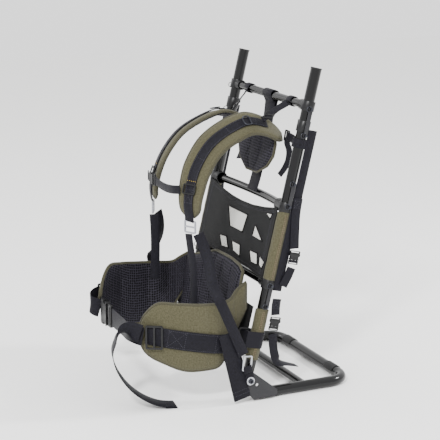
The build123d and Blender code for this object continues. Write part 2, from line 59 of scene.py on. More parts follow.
sides = {"left": 1, "right": -1}
lean = math.radians(13.4)  # the rails lean back by this much
pivotBack, pivotHeight = 14.9, 53.7  # shelf pivot, mm
railX = 189.0
up = Vector((0, math.sin(lean), math.cos(lean)))
back = Vector((0, math.cos(lean), -math.sin(lean)))


def at(x, y, z):  # mm from the pivot axis, height from the floor
    return Vector((x, y + pivotBack, z)) * 0.001


def onRails(x, n, s):  # mm across, behind the rails, and up along them
    return (Vector((x, pivotBack, pivotHeight)) + back * n + up * s) * 0.001


def route(points, sign=1):  # points in mm, mirrored where sign is -1
    return [at(sign * x, y, z) for x, y, z in points]


def addObject(name, data):
    thing = bpy.data.objects.new(name, data)
    bpy.context.scene.collection.objects.link(thing)
    return thing


def ready(piece, nodes=(), body="frame"):  # rides on its body and takes the nodes' place
    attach(piece, body)
    if nodes:
        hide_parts(*nodes)
    return piece


# ---- materials ----
def tint(hexCode):  # sRGB hex to linear
    parts = [int(hexCode[i:i + 2], 16) / 255 for i in (1, 3, 5)]
    return (*[p / 12.92 if p <= 0.04045 else ((p + 0.055) / 1.055) ** 2.4 for p in parts], 1.0)


def addNode(tree, kind, sockets=None, links=None, **settings):
    node = tree.nodes.new(kind)
    for key, value in settings.items():
        setattr(node, key, value)
    for key, value in (sockets or {}).items():
        node.inputs[key].default_value = value
    for key, source in (links or {}).items():
        tree.links.new(source, node.inputs[key])
    return node


def newMaterial(name, base, rough, metallic=0.0, **sockets):
    material = bpy.data.materials.new(name)
    material.use_nodes = True
    tree = material.node_tree
    tree.nodes.clear()
    shader = addNode(tree, "ShaderNodeBsdfPrincipled", {
        "Base Color": tint(base), "Roughness": rough, "Metallic": metallic, **sockets})
    addNode(tree, "ShaderNodeOutputMaterial", links={"Surface": shader.outputs[0]})
    return material, tree, shader


def bandScale(mm):  # a wave texture's scale for bands that far apart
    return 0.3142 / (mm * 0.001)


def colourRamp(tree, shader, factor, low, high, dark, light):
    ramp = addNode(tree, "ShaderNodeValToRGB", links={"Fac": factor})
    for stop, place, colour in zip(ramp.color_ramp.elements, (low, high), (dark, light)):
        stop.position, stop.color = place, tint(colour)
    tree.links.new(ramp.outputs["Color"], shader.inputs["Base Color"])


def mottle(tree, shader, source, dark, light, mm):
    noise = addNode(tree, "ShaderNodeTexNoise", {"Scale": 1000 / mm, "Detail": 3.0, "Roughness": 0.6},
                    {"Vector": source})
    colourRamp(tree, shader, noise.outputs["Fac"], 0.34, 0.66, dark, light)


def surfaceBump(tree, shader, height, strength, depthMm):
    bump = addNode(tree, "ShaderNodeBump", {"Strength": strength, "Distance": depthMm * 0.001}, {"Height": height})
    tree.links.new(bump.outputs["Normal"], shader.inputs["Normal"])


def clothUv(tree):
    return addNode(tree, "ShaderNodeUVMap", uv_map="cloth").outputs[0]


def ribbing(tree, uv, mm, distortion, detailScale, direction):
    return addNode(tree, "ShaderNodeTexWave", {
        "Scale": bandScale(mm), "Distortion": distortion, "Detail Scale": detailScale},
        {"Vector": uv}, bands_direction=direction).outputs["Fac"]


def fineNoise(tree, mm, detail):  # unevenness fixed to the piece itself
    place = addNode(tree, "ShaderNodeTexCoord").outputs["Object"]
    return addNode(tree, "ShaderNodeTexNoise", {"Scale": 1000 / mm, "Detail": detail},
                   {"Vector": place}).outputs["Fac"]


def clothMaterial(name, dark, light, threadMm, rough, depthMm, sheen=0.1):
    material, tree, shader = newMaterial(name, light, rough, **{"Sheen Weight": sheen, "Specular IOR Level": 0.12})
    uv = clothUv(tree)
    mottle(tree, shader, uv, dark, light, threadMm * 2.2)
    warp, weft = [ribbing(tree, uv, threadMm, 0.4, 2.0, direction) for direction in "XY"]
    both = addNode(tree, "ShaderNodeMath", links={0: warp, 1: weft}, operation="MULTIPLY")
    surfaceBump(tree, shader, both.outputs[0], 0.6, depthMm)
    return material


def webbingMaterial(name, dark, light):  # nylon webbing: cross ribs, hardly any shine
    material, tree, shader = newMaterial(name, light, 0.58, **{"Sheen Weight": 0.02, "Specular IOR Level": 0.12})
    uv = clothUv(tree)
    mottle(tree, shader, uv, dark, light, 5.0)
    ribs = ribbing(tree, uv, 2.6, 0.3, 1.5, "DIAGONAL")  # real ribs are 1.3 mm apart: drawn double
    surfaceBump(tree, shader, ribs, 0.7, 0.45)
    return material


def meshMaterial(name, hole, thread, cellMm, rough, depthMm):  # knitted mesh: pits in rows, their holes darkened with painted shade
    material, tree, shader = newMaterial(name, thread, rough, **{"Specular IOR Level": 0.12})
    cells = addNode(tree, "ShaderNodeTexVoronoi", {"Scale": 1000 / cellMm, "Randomness": 0.18},
                    {"Vector": clothUv(tree)}, voronoi_dimensions="2D").outputs["Distance"]
    # the cell centres, sunk as pits, take the darker hole colour: painted shade
    colourRamp(tree, shader, cells, 0.28, 0.46, hole, thread)
    surfaceBump(tree, shader, cells, 0.8, depthMm)
    return material


def enamelMaterial(name, base, rough, shine):  # sprayed and baked: a little orange peel under the gloss
    material, tree, shader = newMaterial(name, base, rough, **{"Specular IOR Level": shine})
    surfaceBump(tree, shader, fineNoise(tree, 2.5, 2.0), 0.08, 0.2)
    return material


def mouldedMaterial(name, base, rough):  # moulded acetal: fine spark texture
    material, tree, shader = newMaterial(name, base, rough, **{"Specular IOR Level": 0.3})
    surfaceBump(tree, shader, fineNoise(tree, 0.9, 2.0), 0.15, 0.1)
    return material


def platedMaterial(name, base, rough):  # zinc plate or blackened wire: metal with uneven shine
    material, tree, shader = newMaterial(name, base, rough, 1.0)
    spread = addNode(tree, "ShaderNodeMapRange", {"To Min": rough - 0.08, "To Max": rough + 0.12},
                     {"Value": fineNoise(tree, 3.0, 3.0)})
    tree.links.new(spread.outputs[0], shader.inputs["Roughness"])
    return material


# frame tube: near black, narrow highlights; plates: softer shine
blackEnamel = enamelMaterial("glossBlackEnamel", "#030304", 0.16, 0.35)
plateEnamel = enamelMaterial("satinBlackEnamel", "#17171b", 0.42, 0.4)
blackAcetal = mouldedMaterial("mouldedBlackAcetal", "#0b0b0d", 0.38)  # buckles: satin black
greyAcetal = mouldedMaterial("mouldedSilverAcetal", "#8f9097", 0.36)  # strap adjusters: silver grey
zincPlate = platedMaterial("zincPlatedSteel", "#b4b6bb", 0.28)  # nuts, washers, steel rings
darkSteel = platedMaterial("blackenedSteel", "#3b3c42", 0.36)  # bolts, pins and D-rings
padRubber = newMaterial("mouldedRubber", "#151516", 0.75)[0]  # shelf pads: dull black
# olive nylon: coarse yarn, dry; binding tape: darker, finer; packcloth: plain weave
oliveNylon = clothMaterial("oliveTexturedNylon", "#3d3b2a", "#504d3b", 1.6, 0.86, 0.5)
oliveBinding = clothMaterial("oliveBindingTape", "#34322a", "#454332", 1.2, 0.8, 0.3)
blackCloth = clothMaterial("blackPackcloth", "#040405", "#08080a", 1.4, 0.72, 0.3, sheen=0.05)
# spacer mesh: cells of 4 mm drawn at 6.5; tennis mesh: thin and pale, in the panel's windows; the first colour of
# each is painted shade in its holes
spacerMesh = meshMaterial("blackSpacerMesh", "#010102", "#2e2c34", 6.5, 0.7, 1.6)
paleMesh = meshMaterial("paleTennisMesh", "#8f8e88", "#e4e3de", 3.0, 0.75, 0.3)
blackWebbing = webbingMaterial("blackNylonWebbing", "#0c0b10", "#15141c")  # blue-black, ribbed
brownThread = newMaterial("brownBondedThread", "#7d6552", 0.6)[0]  # bonded nylon thread
yellowThread = newMaterial("yellowBartackThread", "#c8a53a", 0.6)[0]  # dense bar of stitches
greyThread = newMaterial("charcoalBondedThread", "#34333c", 0.6)[0]  # on the webbing: hardly lighter
threadColours = {"brown": brownThread, "yellow": yellowThread, "grey": greyThread}
print("materials made")


# ---- paths, strips and tubes ----
def unit(rows):
    return rows / np.linalg.norm(rows, axis=-1, keepdims=True)


def distances(path):  # how far along the path each of its points lies
    return np.concatenate([[0], np.cumsum(np.linalg.norm(np.diff(path, axis=0), axis=1))])


def between(where, knots, rows):  # 3-D rows interpolated at one or many places
    return np.stack([np.interp(where, knots, rows[:, k]) for k in range(3)], axis=-1)


def splinePath(points, stepMm):
    # a rounded path through the points, with evenly spaced steps and where each step lies among the points
    pts = np.array([tuple(p) for p in points])
    full = np.vstack([2 * pts[0] - pts[1], pts, 2 * pts[-1] - pts[-2]])
    fine, marks = [], []
    for i in range(len(pts) - 1):
        p0, p1, p2, p3 = full[i:i + 4]
        t1 = np.linalg.norm(p1 - p0) ** 0.5
        t2 = t1 + np.linalg.norm(p2 - p1) ** 0.5
        t3 = t2 + np.linalg.norm(p3 - p2) ** 0.5
        for k in range(16):
            t = t1 + (t2 - t1) * k / 16
            a1 = (t1 - t) / t1 * p0 + t / t1 * p1
            a2 = (t2 - t) / (t2 - t1) * p1 + (t - t1) / (t2 - t1) * p2
            a3 = (t3 - t) / (t3 - t2) * p2 + (t - t2) / (t3 - t2) * p3
            b1 = (t2 - t) / t2 * a1 + t / t2 * a2
            b2 = (t3 - t) / (t3 - t1) * a2 + (t - t1) / (t3 - t1) * a3
            fine.append((t2 - t) / (t2 - t1) * b1 + (t - t1) / (t2 - t1) * b2)
            marks.append(i + k / 16)
    fine.append(pts[-1])
    marks.append(len(pts) - 1)
    fine, marks = np.array(fine), np.array(marks)
    along = distances(fine)
    count = max(3, int(round(along[-1] / (stepMm * 0.001))) + 1)
    wanted = np.linspace(0, along[-1], count)
    return between(wanted, along, fine), np.interp(wanted, along, marks), wanted


def layStrip(points, across, width, thick=1.6, stepMm=4.0):
    # a length of webbing: its path, width directions, faces and distances
    path, marks, along = splinePath(points, stepMm)
    acrossRows = np.array([tuple(a) for a in (across if isinstance(across, list) else [across] * len(points))], float)
    wide = between(marks, np.arange(len(acrossRows)), acrossRows)
    way = unit(np.gradient(path, axis=0))
    wide = unit(wide - way * np.sum(wide * way, axis=1, keepdims=True))
    return {"path": path, "wide": wide, "face": np.cross(way, wide), "along": along,
            "width": width * 0.001, "thick": thick * 0.001}


def outerSide(strip, distance, direction):  # 1 where the strip's face looks that way, -1 where its back does
    lifted = stripSpot(strip, distance, 0, 0.01) - stripSpot(strip, distance)
    return 1 if lifted.dot(direction) > 0 else -1


def stripSpot(strip, distance, sideways=0.0, lift=0.0):  # a point on a strip's face, in metres
    middle, wide, face = [between(distance, strip["along"], strip[key]) for key in ("path", "wide", "face")]
    return Vector(middle + wide * sideways + face * lift)


def meshPiece(name, verts, faces, uvs, materials, slots=None):
    mesh = bpy.data.meshes.new(name)
    mesh.from_pydata([tuple(v) for v in verts], [], faces)
    layer = mesh.uv_layers.new(name="cloth")
    layer.data.foreach_set("uv", np.array([uv for face in uvs for uv in face], dtype=np.float32).ravel())
    for material in materials:
        mesh.materials.append(material)
    if slots is not None:
        mesh.polygons.foreach_set("material_index", slots)
    mesh.polygons.foreach_set("use_smooth", [True] * len(faces))
    mesh.update()
    return addObject(name, mesh)


def ringQuad(start, count, i, k, following=None):  # the quad between ring i and the ring after it
    j = (k + 1) % count
    after = i + 1 if following is None else following
    return (start + i * count + k, start + i * count + j, start + after * count + j, start + after * count + k)


def stripPiece(name, strips):
    verts, faces, uvs = [], [], []
    for strip in strips:
        w, t = strip["width"] / 2, strip["thick"] / 2
        section = [(-w, -t * 0.3), (-w + t, -t), (0, -t * 1.05), (w - t, -t), (w, -t * 0.3),
                   (w, t * 0.3), (w - t, t), (0, t * 1.05), (-w + t, t), (-w, t * 0.3)]  # woven edges are thinner
        count, start, rows = len(section), len(verts), len(strip["path"])
        for p, a, n in zip(strip["path"], strip["wide"], strip["face"]):
            verts += [p + a * u + n * v for u, v in section]
        for i in range(rows - 1):
            for k in range(count):
                j = (k + 1) % count
                faces.append(ringQuad(start, count, i, k))
                d0, d1 = strip["along"][i], strip["along"][i + 1]
                u0, u1 = section[k][0], section[j][0]
                uvs.append(((u0, d0), (u1, d0), (u1, d1), (u0, d1)))
        faces.append(tuple(start + k for k in reversed(range(count))))
        uvs.append(tuple((section[k][0], strip["along"][0]) for k in reversed(range(count))))
        end = start + (rows - 1) * count
        faces.append(tuple(end + k for k in range(count)))
        uvs.append(tuple((section[k][0], strip["along"][-1]) for k in range(count)))
    piece = meshPiece(name, verts, faces, uvs, [blackWebbing])
    outward(piece)
    return piece


def outward(piece):
    work = bmesh.new()
    work.from_mesh(piece.data)
    bmesh.ops.recalc_face_normals(work, faces=work.faces)
    work.to_mesh(piece.data)
    work.free()
    piece.data.update()


def tubeAlong(name, loops, radiusMm, material, closed=True, sideCount=10):
    verts, faces, uvs = [], [], []
    for path in loops:
        pts = np.array([tuple(p) for p in path])
        way = unit(np.roll(pts, -1, 0) - np.roll(pts, 1, 0)) if closed else unit(np.gradient(pts, axis=0))
        guide = np.array([0.31, 0.17, 0.93])
        start, rows = len(verts), len(pts)
        first = unit(np.cross(way[0], guide))
        distance = 0.0
        spots = []
        for i, (p, t) in enumerate(zip(pts, way)):
            first = unit(first - t * np.dot(first, t))
            second = np.cross(t, first)
            spots.append(distance)
            if i + 1 < rows:
                distance += np.linalg.norm(pts[i + 1] - p)
            for k in range(sideCount):
                turn = 2 * math.pi * k / sideCount
                verts.append(p + (first * math.cos(turn) + second * math.sin(turn)) * radiusMm * 0.001)
        spots.append(distance + np.linalg.norm(pts[0] - pts[-1]))
        for i in range(rows if closed else rows - 1):
            nxt = (i + 1) % rows
            for k in range(sideCount):
                faces.append(ringQuad(start, sideCount, i, k, nxt))
                u0, u1 = k * 0.002, (k + 1) * 0.002
                uvs.append(((u0, spots[i]), (u1, spots[i]), (u1, spots[i + 1]), (u0, spots[i + 1])))
        if not closed:
            for base in (start, start + (rows - 1) * sideCount):
                faces.append(tuple(base + k for k in range(sideCount)))
                uvs.append(((0.0, 0.0),) * sideCount)
    piece = meshPiece(name, verts, faces, uvs, [material])
    outward(piece)
    return piece


threadLines = {}  # colour -> stitched lines, drawn together at the end


def stitch(points, colour="grey"):
    threadLines.setdefault(colour, []).append([Vector(p) for p in points])


def threadLift(strip, faceSide):  # half the webbing's thickness and a little more
    return faceSide * (strip["thick"] / 2 + 0.0002)


def stitchRow(strip, start, end, sideways, faceSide=1):
    lift = threadLift(strip, faceSide)
    steps = max(2, int((end - start) / 0.004))
    stitch([stripSpot(strip, start + (end - start) * i / steps, sideways, lift) for i in range(steps + 1)])


def stitchAcross(strip, distance, reach, lift, colour="grey"):
    stitch([stripSpot(strip, distance, u, lift) for u in (-reach, 0, reach)], colour)


def boxCross(strip, start, end, faceSide=1):  # a sewn box with a cross in it
    edge, lift = strip["width"] / 2 - 0.0035, threadLift(strip, faceSide)
    for u in (-edge, edge):
        stitchRow(strip, start, end, u, faceSide)
    corners = [(start, -edge), (start, edge), (end, -edge), (end, edge)]
    for a, b in ((0, 1), (2, 3), (0, 3), (1, 2)):
        (d0, u0), (d1, u1) = corners[a], corners[b]
        stitch([stripSpot(strip, d0 + (d1 - d0) * k / 8, u0 + (u1 - u0) * k / 8, lift) for k in range(9)])


# ---- padded shells: two faces joined at a thin edge, blown up between their seams ----
padSizes = {
    "edgeHalf": 3.0,  # half the pad's thickness at its edges and seams
    "reach": 0.012,  # how far in from the edge it rounds up, m
    "sewnShare": 0.45,  # what a seam keeps of the thickness
    "sewnHold": 0.9,  # how firmly the cloth is held along a seam
    "pressure": 4.0, "frames": 20,
}


def padGrid(rows, columns):  # centres and outward directions, still to be filled in
    return np.zeros((rows, columns, 3)), np.zeros((rows, columns, 3))


def padShell(name, centres, outwards, thickMm, front, rear, seamRows=(), seamColumns=(), capMm=4.0):
    # centres and outwards are grids [row][column]; rows run along the pad, columns across it
    rows, columns = centres.shape[:2]
    edge = padSizes["edgeHalf"] * 0.001
    half = np.full((rows, columns), thickMm * 0.0005)
    fromEdge = np.full((rows, columns), 1.0)
    for i in range(rows):
        for j in range(columns):
            border = min(np.linalg.norm(centres[i, j] - centres[spot]) for spot in ((i, 0), (i, -1), (0, j), (-1, j)))
            fromEdge[i, j] = min(1.0, border / padSizes["reach"])
    ease = np.sqrt(np.clip(1 - (1 - fromEdge) ** 2, 0, 1))
    pinned = fromEdge <= 0.001
    sewn = np.zeros((rows, columns), bool)
    for i in seamRows:
        sewn[i, :] = True
    for j in seamColumns:
        sewn[:, j] = True
    half = edge + (half - edge) * ease
    half[sewn] = edge + (half[sewn] - edge) * padSizes["sewnShare"]
    verts, faces, uvs, slots, group = [], [], [], [], []
    index = {}
    runs = distances(centres[:, columns // 2])
    spans = np.linalg.norm(centres - centres[:, :1], axis=2)
    for sheetSide in (1, -1):
        for i in range(rows):
            for j in range(columns):
                index[sheetSide, i, j] = len(verts)
                verts.append(centres[i, j] + outwards[i, j] * half[i, j] * sheetSide)
                group.append(1.0 if pinned[i, j] else (padSizes["sewnHold"] if sewn[i, j] else 0.0))
        for i in range(rows - 1):
            for j in range(columns - 1):
                corners = [(i, j), (i + 1, j), (i + 1, j + 1), (i, j + 1)]
                faces.append(tuple(index[sheetSide, a, b] for a, b in corners))
                uvs.append(tuple((spans[a, b] + (0.5 if sheetSide < 0 else 0), runs[a]) for a, b in corners))
                slots.append(0 if sheetSide > 0 else 1)
    rim = ([(i, 0) for i in range(rows)] + [(rows - 1, j) for j in range(1, columns)]
           + [(i, columns - 1) for i in range(rows - 2, -1, -1)] + [(0, j) for j in range(columns - 2, 0, -1)])
    for (a, b), (c, d) in zip(rim, rim[1:] + rim[:1]):
        faces.append((index[1, a, b], index[1, c, d], index[-1, c, d], index[-1, a, b]))
        uvs.append(((0, 0), (0.006, 0), (0.006, 0.006), (0, 0.006)))
        slots.append(2)
    piece = meshPiece(name, verts, faces, uvs, [front, rear, oliveBinding], slots)
    outward(piece)
    blowUp(piece, group, capMm)
    smooth = piece.modifiers.new("smooth", "SUBSURF")
    smooth.levels = smooth.render_levels = 1
    applyModifiers(piece)
    return piece, [Vector(centres[a, b]) for a, b in rim]


def applyModifiers(piece):
    depsgraph = bpy.context.evaluated_depsgraph_get()
    plain = bpy.data.meshes.new_from_object(piece.evaluated_get(depsgraph), preserve_all_data_layers=True,
                                            depsgraph=depsgraph)
    piece.modifiers.clear()
    piece.data = plain
    piece.vertex_groups.clear()


def blowUp(piece, weights, capMm):
    before = np.array([v.co[:] for v in piece.data.vertices])
    pins = piece.vertex_groups.new(name="sewn")
    for i, weight in enumerate(weights):
        if weight:
            pins.add([i], weight, "REPLACE")
    cloth = piece.modifiers.new("cloth", "CLOTH")
    settings = cloth.settings
    settings.quality = 4
    settings.mass = 0.3
    settings.tension_stiffness = settings.compression_stiffness = 12
    settings.bending_stiffness = 0.6
    settings.use_pressure = True
    settings.uniform_pressure_force = padSizes["pressure"]
    settings.effector_weights.gravity = 0
    settings.vertex_group_mass = "sewn"
    cloth.point_cache.frame_start, cloth.point_cache.frame_end = 1, padSizes["frames"]
    for number in range(1, padSizes["frames"] + 1):
        bpy.context.scene.frame_set(number)
    depsgraph = bpy.context.evaluated_depsgraph_get()
    settled = piece.evaluated_get(depsgraph).data
    after = np.array([v.co[:] for v in settled.vertices])
    bpy.context.scene.frame_set(1)
    piece.modifiers.clear()
    move = after - before
    size = np.linalg.norm(move, axis=1, keepdims=True)
    cap = capMm * 0.001
    move *= cap * np.tanh(size / cap) / np.maximum(size, 1e-9)
    piece.data.vertices.foreach_set("co", (before + move).ravel().astype(np.float32))
    piece.data.update()


def softPad(name, centres, outwards, thickMm, front, rear, slot, node, fill, bindingName, bindingMm, **shell):
    # a padded shell in its node's place, with binding tape round its edge
    piece, rim = padShell(name, centres, outwards, thickMm, front, rear, **shell)
    ready(piece, [node])
    ready(tubeAlong(bindingName, [rim], bindingMm, oliveBinding))


# ---- hip belt: wings, back pad and webbing ----
wing = {
    "stations": ((157, 11, 214, 276), (167, -26, 122, 260), (182, -46, 94, 246), (189, -85, 90, 242),
                 (184, -138, 93, 245), (170, -186, 112, 250), (150, -222, 130, 250), (130, -246, 152, 205)),
    "thick": 12.0,
    "rise": {"left": 0.0, "right": 14.0},  # the far wing stands a little higher at its front
    "folds": (0.2, 0.47, 0.72),  # sewn folds, as shares of the wing's length
    "step": 6.0, "columns": 30,
    "tipRound": 26.0, "curl": 0.004,  # rounded front end, mm; how far the edges curl in, m
}


def wingGrid(sign, side):
    tops, bottoms = [], []
    last = len(wing["stations"]) - 1
    for i, (x, y, low, high) in enumerate(wing["stations"]):
        rise = wing["rise"][side] * i / last
        bottoms.append(at(sign * x, y, low + rise))
        tops.append(at(sign * x, y, high + rise))
    lower = splinePath(bottoms, wing["step"])[0]
    upperPath = splinePath(tops, wing["step"])[0]
    rows = len(lower)
    share = np.linspace(0, 1, rows)
    upper = between(share, np.linspace(0, 1, len(upperPath)), upperPath)
    upper[:, :2] = lower[:, :2] = (upper[:, :2] + lower[:, :2]) / 2
    level = (upper + lower) / 2
    way = unit(np.gradient(np.stack([level[:, 0], level[:, 1], level[:, 0] * 0], axis=1), axis=0))
    face = np.stack([way[:, 1], -way[:, 0], way[:, 2]], axis=1)
    face *= np.sign(face[rows // 3, 0] * sign)
    columns = wing["columns"]
    centres, outwards = padGrid(rows, columns)
    for i in range(rows):
        fromTip = (rows - 1 - i) * wing["step"]
        shrink = math.sqrt(max(0.06, 1 - (1 - min(1, fromTip / wing["tipRound"])) ** 2))
        middle, reach = (upper[i] + lower[i]) / 2, (upper[i] - lower[i]) / 2
        for j in range(columns):
            v = -1 + 2 * j / (columns - 1)
            cup = face[i] * -wing["curl"] * (v * v) * (i / rows)
            centres[i, j] = middle + reach * v * shrink + cup
            outwards[i, j] = face[i]
    folds = [int(share * (rows - 1)) for share in wing["folds"]]
    return centres, outwards, folds


for side, sign in sides.items():
    centres, outwards, folds = wingGrid(sign, side)
    softPad(f"hipWingPad{side.title()}", centres, outwards, wing["thick"], oliveNylon, spacerMesh, "olive_cloth",
            f"hip_wing_{side}", 0.6, f"hipWingBinding{side.title()}", 3.9, seamRows=folds)
print("hip wings made")


def sideways(points, gap):  # the same route in plan, moved to its right by gap
    moved = []
    for i, p in enumerate(points):
        way = points[min(i + 1, len(points) - 1)] - points[max(i - 1, 0)]
        way = Vector((way.x, way.y, 0)).normalized()
        moved.append(p + Vector((way.y, -way.x, 0)) * gap)
    return moved


def levelRun(name, points, width, node):  # one length of webbing on edge, its width upright
    return ready(stripPiece(name, [layStrip(route(points), (0, 0, 1), width)]), [node])


beltWebbing = {"width": 45, "lift": 9.2, "rearDrop": 10.0, "middle": (146, 152, 163, 173, 180, 184)}
wingSpots = [station[:2] for station in wing["stations"][2:]]
wingStrips = []
for side, sign in sides.items():
    drop = 0 if sign > 0 else beltWebbing["rearDrop"]
    middle = [at(sign * x, y, z - drop * y / 200) for (x, y), z in zip(wingSpots, beltWebbing["middle"])]
    outer = sideways(middle, -sign * beltWebbing["lift"] * 0.001)
    strip = layStrip([*outer[:-1], outer[-2] * 0.65 + outer[-1] * 0.35], (0, 0, 1), beltWebbing["width"])
    wingStrips.append(strip)
    faceOut = outerSide(strip, 0.05, Vector((sign, 0, 0)))
    end = strip["along"][-1]
    boxCross(strip, end - 0.092, end - 0.052, faceOut)
    boxCross(strip, 0.004, 0.040, faceOut)
    for u in (-0.019, 0.019):
        stitchRow(strip, 0.04, end - 0.092, u, faceOut)
ready(stripPiece("wingWebbing", wingStrips), ["wing_webbing"])

waistLeft = {
    "route": ((156, -245, 179), (144, -257, 182), (126, -264, 183), (102, -264, 181), (60, -257, 176), (4, -250, 171),
              (-41, -246, 168)),
    "release": 30.0,
}
piece = levelRun("waistWebbingLeft", waistLeft["route"], beltWebbing["width"], "waist_webbing_left")
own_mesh(piece)
waistRight = ((-164, -234, 190), (-154, -251, 188), (-143, -263, 184), (-131, -267, 179), (-121, -260, 174),
              (-115, -249, 170))
levelRun("waistWebbingRight", waistRight, beltWebbing["width"], "waist_webbing_right")

beltTail = ((161, -253, 188), (154, -262, 192), (147, -270, 195), (140, -279, 194), (134, -287, 189),
            (128, -295, 180), (124, -300, 166), (120, -306, 140), (119, -300, 108), (122, -285, 76),
            (128, -262, 46), (136, -233, 23), (144, -200, 8), (149, -164, 1.6))
tailTurn = [(0, 0, 1), (0.1, 0, 1), (0.3, 0, 1), (0.6, 0, 1), (1, 0, 0.8), (1, -0.2, 0.3)] + [(1, -0.28, 0)] * 8
strip = layStrip(route(beltTail), tailTurn, beltWebbing["width"], stepMm=3.0)
end = strip["along"][-1]
for faceSide in (1, -1):  # the folded, sewn end
    for d in (0.010, 0.024):
        stitchAcross(strip, end - d, 0.019, faceSide * 0.0011)
fold = layStrip([stripSpot(strip, end - 0.028, 0, 0.0017), stripSpot(strip, end - 0.014, 0, 0.0017),
                 stripSpot(strip, end - 0.001, 0, 0.0015)], tailTurn[-1], beltWebbing["width"] - 0.4, 1.5)
ready(stripPiece("freeBeltEnd", [strip, fold]), ["belt_tail"])

backPad = {
    "foot": 98, "thick": 20.0, "rows": 38, "columns": 52, "hollow": 4, "seams": (0.17, 0.34, 0.5, 0.66, 0.83),
    "levels": ((98, -20, 262), (130, -20, 296), (272, 4, 298), (312, 14, 290)),  # height, y and width
    "top": ((-1, 268), (-0.5, 292), (-0.1, 311), (0.5, 313), (0.85, 309), (1, 300)),
}
rows, columns = backPad["rows"], backPad["columns"]
levels = np.array(backPad["levels"], float)
centres, outwards = padGrid(rows, columns)
for j, v in enumerate(np.linspace(-1, 1, columns)):
    top = float(np.interp(v, *zip(*backPad["top"])))
    for i in range(rows):
        z = backPad["foot"] + (top - backPad["foot"]) * i / (rows - 1)
        y, width = np.interp(z, levels[:, 0], levels[:, 1]), np.interp(z, levels[:, 0], levels[:, 2])
        centres[i, j] = at(v * width / 2, y + backPad["hollow"] * (1 - v * v) - 2, z)
        outwards[i, j] = (0, -1, -0.14)
outwards = unit(outwards)
softPad("hipBackPad", centres, outwards, backPad["thick"], spacerMesh, blackCloth, "spacer_mesh", "hip_back_pad", 0.6,
        "hipBackPadBinding", 3.6, seamColumns=[int(share * columns) for share in backPad["seams"]], capMm=6.0)
print("hip belt made")

# ---- harness: shoulder straps, yoke, sternum strap and load lifters ----
shoulder = {
    "stations": (  # x, y, z, width and turn in degrees
        (92, 132, 598, 62, 30), (88, 92, 624, 68, 34), (85, 52, 634, 72, 38), (86, 8, 622, 74, 40),
        (91, -46, 591, 74, 40), (98, -84, 541, 72, 38), (105, -101, 495, 68, 34), (110, -107, 462, 62, 30),
        (112, -105, 434, 52, 28)),
    "thick": 13.0, "webbing": 25, "lift": 9.3,
    "farTurn": 0.35,  # the right strap lies flatter
}


def shoulderStations(sign, liftMm=0.0):  # points, width directions and outer faces, station by station
    spots = route([station[:3] for station in shoulder["stations"]], sign)
    found = []
    for i, (spot, (*_, turn)) in enumerate(zip(spots, shoulder["stations"])):
        turn *= 1.0 if sign > 0 else shoulder["farTurn"]
        way = (spots[min(i + 1, len(spots) - 1)] - spots[max(i - 1, 0)]).normalized()
        flat = Vector((0, way.z, -way.y)).normalized()
        face = flat * math.cos(math.radians(turn)) + Vector((sign, 0, 0)) * math.sin(math.radians(turn))
        face = (face - way * face.dot(way)).normalized()
        found.append((spot + face * liftMm * 0.001, way.cross(face), face))
    return found


for side, sign in sides.items():
    stations = shoulderStations(sign)
    path, marks, along = splinePath([s[0] for s in stations], 6.0)
    wides = np.array([tuple(s[1]) for s in stations])
    facesOut = np.array([tuple(s[2]) for s in stations])
    widths = np.array([s[3] for s in shoulder["stations"]], float)
    knots = np.arange(len(stations))
    columns = 15
    centres, outwards = padGrid(len(path), columns)
    for i, (p, m) in enumerate(zip(path, marks)):
        wide, face = unit(between(m, knots, wides)), unit(between(m, knots, facesOut))
        fromEnd, fromStart = (along[-1] - along[i]) * 1000, along[i] * 1000
        reach = np.interp(m, knots, widths) / 2 - 2.5
        reach *= math.sqrt(max(0.12, 1 - (1 - min(1, fromEnd / 20)) ** 2))
        reach *= math.sqrt(max(0.2, 1 - (1 - min(1, (fromStart + 4) / 30)) ** 2))
        for j, v in enumerate(np.linspace(-1, 1, columns)):
            centres[i, j] = p + wide * v * reach * 0.001
            outwards[i, j] = face
    softPad(f"shoulderPad{side.title()}", centres, outwards, shoulder["thick"], oliveNylon, spacerMesh, "olive_cloth",
            f"shoulder_strap_{side}", 0.6, f"shoulderBinding{side.title()}", 3.4, capMm=3.0)

    raised = shoulderStations(sign, shoulder["lift"])[1:]
    low = raised[-1]
    points = [s[0] for s in raised[:-1]] + [low[0] - low[2] * 0.001, at(sign * 112.8, -111, 424)]
    strip = layStrip(points, [s[1] for s in raised] + [low[1]], shoulder["webbing"])
    ready(stripPiece(f"shoulderWebbing{side.title()}", [strip]), [f"strap_webbing_{side}"])
    end = strip["along"][-1]
    faceOut = outerSide(strip, 0.1, raised[2][2])
    for u in (-0.010, 0.010):
        stitchRow(strip, 0.012, end - 0.03, u, faceOut)
    for d in (0.03, 0.105, 0.20, 0.255):  # bar tacks that hold the webbing down
        stitchAcross(strip, d, 0.010, faceOut * 0.001, "yellow" if d > 0.25 else "grey")
    boxCross(strip, end - 0.075, end - 0.045, faceOut)
print("shoulder straps made")

yoke = {"levels": ((462, 60), (485, 150), (512, 188), (540, 186), (556, 160)), "behind": -4.0, "curve": 2.5,
        "thick": 13.0, "rows": 18, "columns": 30, "inset": 5}
rows, columns = yoke["rows"], yoke["columns"]
levels = np.array(yoke["levels"], float)
centres, outwards = padGrid(rows, columns)
for i, s in enumerate(np.linspace(levels[0, 0], levels[-1, 0], rows)):
    width = np.interp(s, levels[:, 0], levels[:, 1]) - yoke["inset"]
    for j, v in enumerate(np.linspace(-1, 1, columns)):
        centres[i, j] = onRails(v * width / 2, yoke["behind"] - yoke["curve"] * v * v, s)
        outwards[i, j] = -back
softPad("yokePad", centres, outwards, yoke["thick"], spacerMesh, blackCloth, "spacer_mesh", "yoke_pad", 0.5,
        "yokeBinding", 3.4, seamColumns=(10, 19), capMm=3.0)

